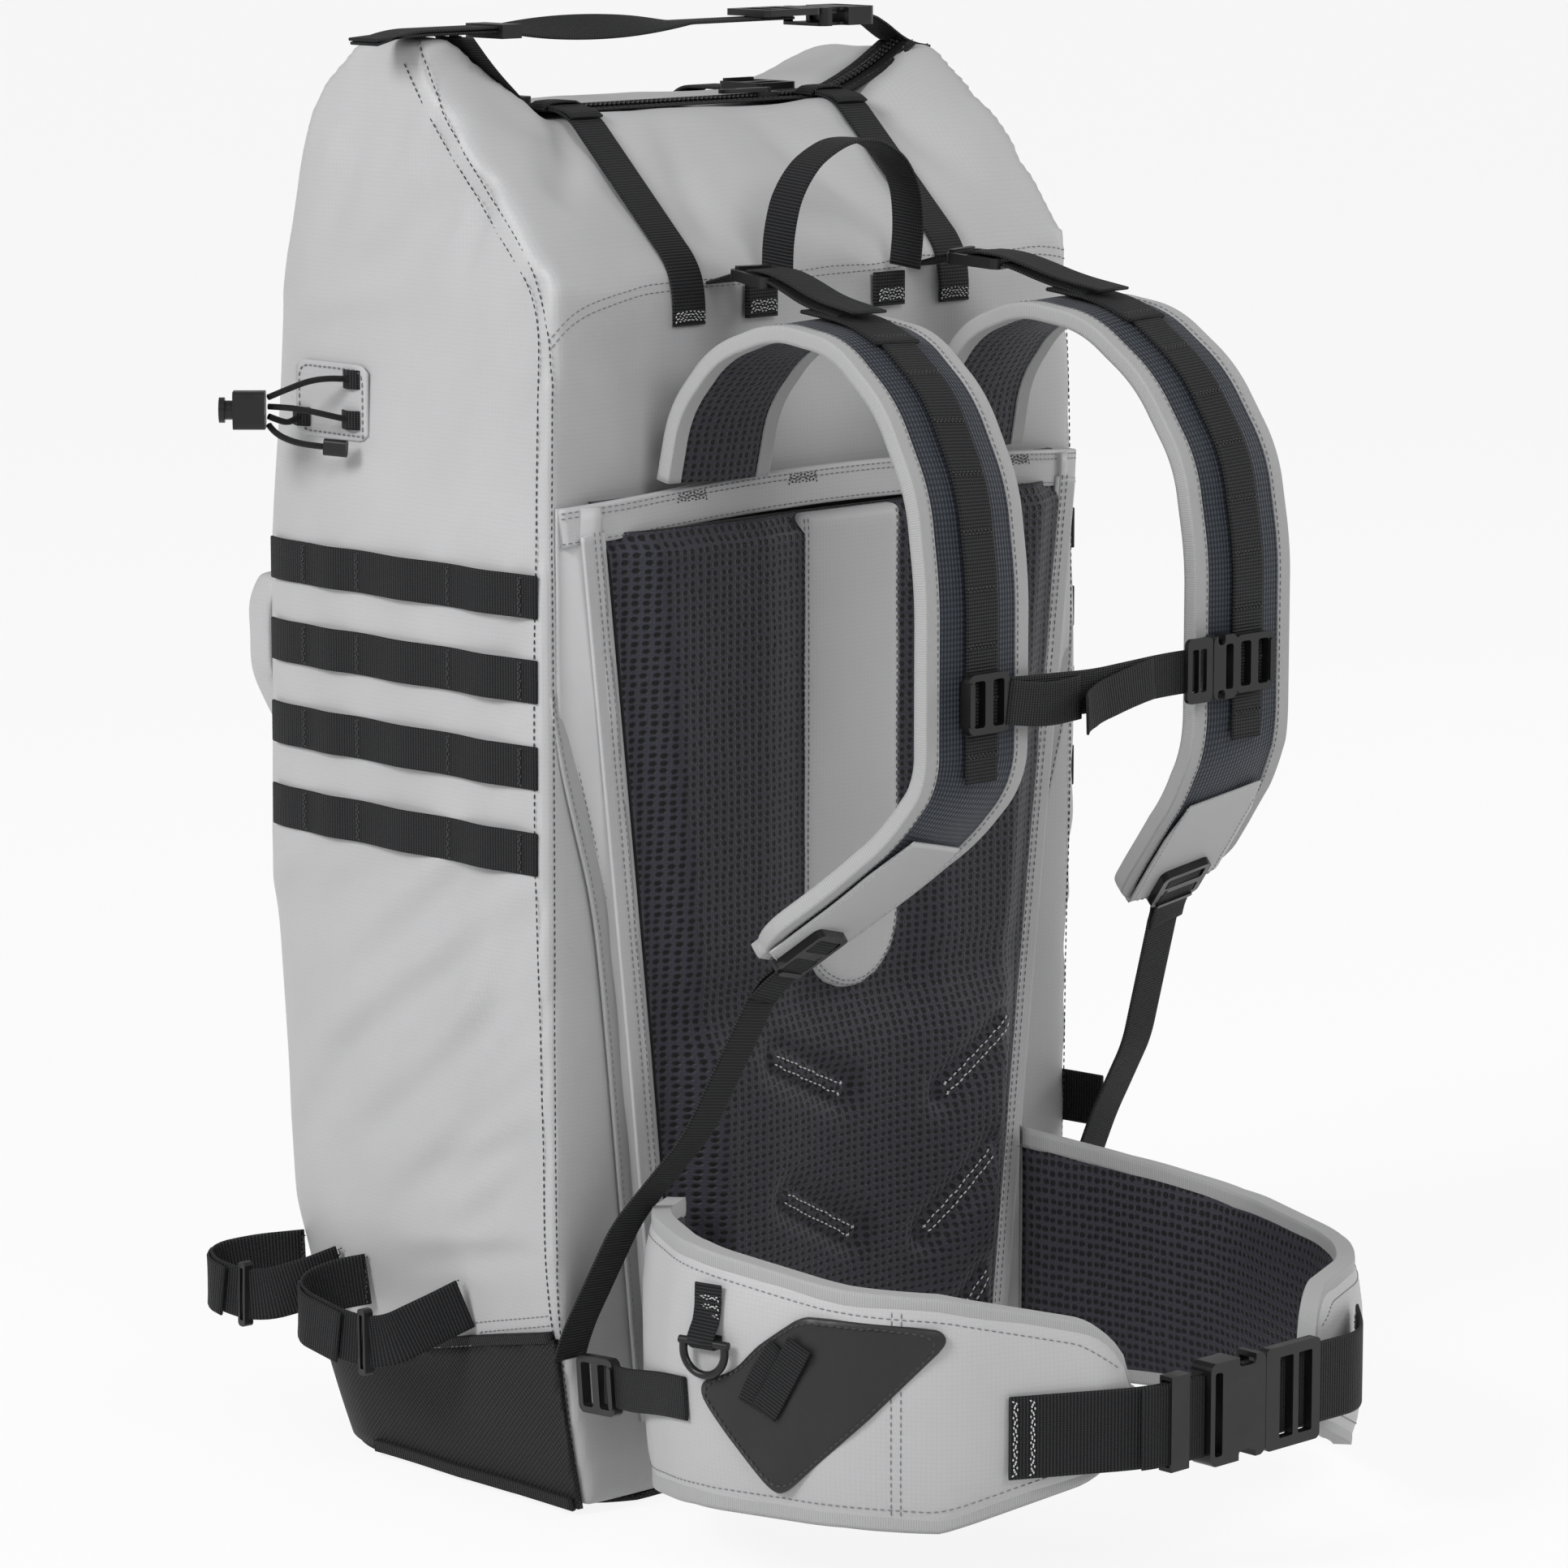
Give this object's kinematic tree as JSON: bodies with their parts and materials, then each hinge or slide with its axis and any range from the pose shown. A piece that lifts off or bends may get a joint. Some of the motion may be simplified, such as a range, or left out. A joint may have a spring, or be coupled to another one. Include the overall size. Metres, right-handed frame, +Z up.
{
  "type": "ski backpack",
  "caption": "Tall touring pack with roll-style zipped top, compression straps, padded mesh back panel, curved shoulder straps, sternum strap and padded hip belt.",
  "frame": {"origin": "on the floor, in the middle of the base's flat underside", "axes": "+Z up the pack, -Y towards the harness and wearer, +X to the wearer's left when the pack is worn"},
  "size_m": [0.4137, 0.528, 0.6926],
  "materials": {
    "bag_fabric": "light grey coated ripstop, satin",
    "boot_fabric": "black ballistic weave",
    "panel_fabric": "light grey ripstop, satin",
    "frame_plastic": "black sheet, matte",
    "stay_aluminium": "plain bar",
    "air_mesh": "black spacer mesh",
    "strap_padding": "light grey ripstop over foam",
    "webbing": "black ribbed webbing",
    "coated_flap": "black coated fabric, soft sheen",
    "buckle_plastic": "black acetal, fine grain",
    "zip_black": "black tape and teeth",
    "cord_black": "black braided elastic cord"
  },
  "bodies": {
    "pack": {"adjuster_strap_left": "webbing", "adjuster_strap_right": "webbing", "back_pad_left": "air_mesh", "back_pad_right": "air_mesh", "back_panel": "panel_fabric", "base_boot": "boot_fabric", "bungee_cord": "cord_black", "bungee_end_cap": "buckle_plastic", "bungee_patch": "bag_fabric", "centre_strip": "panel_fabric", "closure_buckle_female": "buckle_plastic", "closure_keeper": "buckle_plastic", "closure_strap": "webbing", "compression_buckles": "buckle_plastic", "compression_keepers": "buckle_plastic", "compression_straps": "webbing", "cord_lock_body": "buckle_plastic", "daisy_chains_left": "webbing", "daisy_chains_right": "webbing", "frame_sheet": "frame_plastic", "frame_stays": "stay_aluminium", "front_pocket": "bag_fabric", "gear_ring_tab": "webbing", "handle_tacks": "webbing", "hip_buckle_female": "buckle_plastic", "hip_pocket_flap": "coated_flap", "hip_pocket_pull": "webbing", "hip_strap_keeper": "webbing", "hip_strap_left": "webbing", "hip_strap_right": "webbing", "hip_wing_left": "strap_padding", "hip_wing_right": "strap_padding", "lifter_lock_left": "buckle_plastic", "lifter_lock_right": "buckle_plastic", "lifter_strap_left": "webbing", "lifter_strap_right": "webbing", "lumbar_pad": "air_mesh", "main_bag": "bag_fabric", "panel_binding": "panel_fabric", "shoulder_lock_left": "buckle_plastic", "shoulder_lock_right": "buckle_plastic", "shoulder_pad_left": "strap_padding", "shoulder_pad_right": "strap_padding", "shoulder_webbing_left": "webbing", "shoulder_webbing_right": "webbing", "ski_strap_rings": "buckle_plastic", "ski_straps": "webbing", "stabilizer_buckles": "buckle_plastic", "stabilizer_straps": "webbing", "top_zip": "zip_black"},
    "zip_pull": {"zip_slider": "buckle_plastic"},
    "closure_plug": {"closure_buckle_male": "buckle_plastic"},
    "handle": {"grab_handle": "webbing"},
    "sternum": {"sternum_sliders": "buckle_plastic", "sternum_strap": "webbing", "sternum_buckle_female": "buckle_plastic"},
    "sternum_plug": {"sternum_buckle_male": "buckle_plastic"},
    "hip_plug": {"hip_buckle_male": "buckle_plastic"},
    "ring": {"gear_ring": "buckle_plastic"},
    "lock_button": {"cord_lock_button": "buckle_plastic"}
  },
  "joints": [
    {"name": "zip_slide", "type": "slide", "parent": "pack", "child": "zip_pull", "axis": [1, 0, 0], "range_m": [-0.115, 0]},
    {"name": "closure_buckle_release", "type": "slide", "parent": "pack", "child": "closure_plug", "axis": [-1, 0, 0], "range_m": [0, 0.03]},
    {"name": "handle_fold", "type": "hinge", "parent": "pack", "child": "handle", "pos_m": [0, -0.092, 0.575], "axis": [1, 0, 0], "range_deg": [-20, 60]},
    {"name": "sternum_height", "type": "slide", "parent": "pack", "child": "sternum", "axis": [0, 0, 1], "range_m": [-0.02, 0.03]},
    {"name": "sternum_buckle_release", "type": "slide", "parent": "sternum", "child": "sternum_plug", "axis": [-1, 0, 0], "range_m": [0, 0.012]},
    {"name": "hip_buckle_release", "type": "slide", "parent": "pack", "child": "hip_plug", "axis": [1, 0, 0], "range_m": [0, 0.025]},
    {"name": "gear_ring_swing", "type": "hinge", "parent": "pack", "child": "ring", "pos_m": [-0.19438, -0.21378, 0.116], "axis": [-0.2276, 0.9737, 0], "range_deg": [0, 75]},
    {"name": "cord_lock_button_press", "type": "slide", "parent": "pack", "child": "lock_button", "axis": [0.722, -0.6919, 0], "range_m": [0, 0.0038], "stiffness_N_per_m": 300}
  ]
}
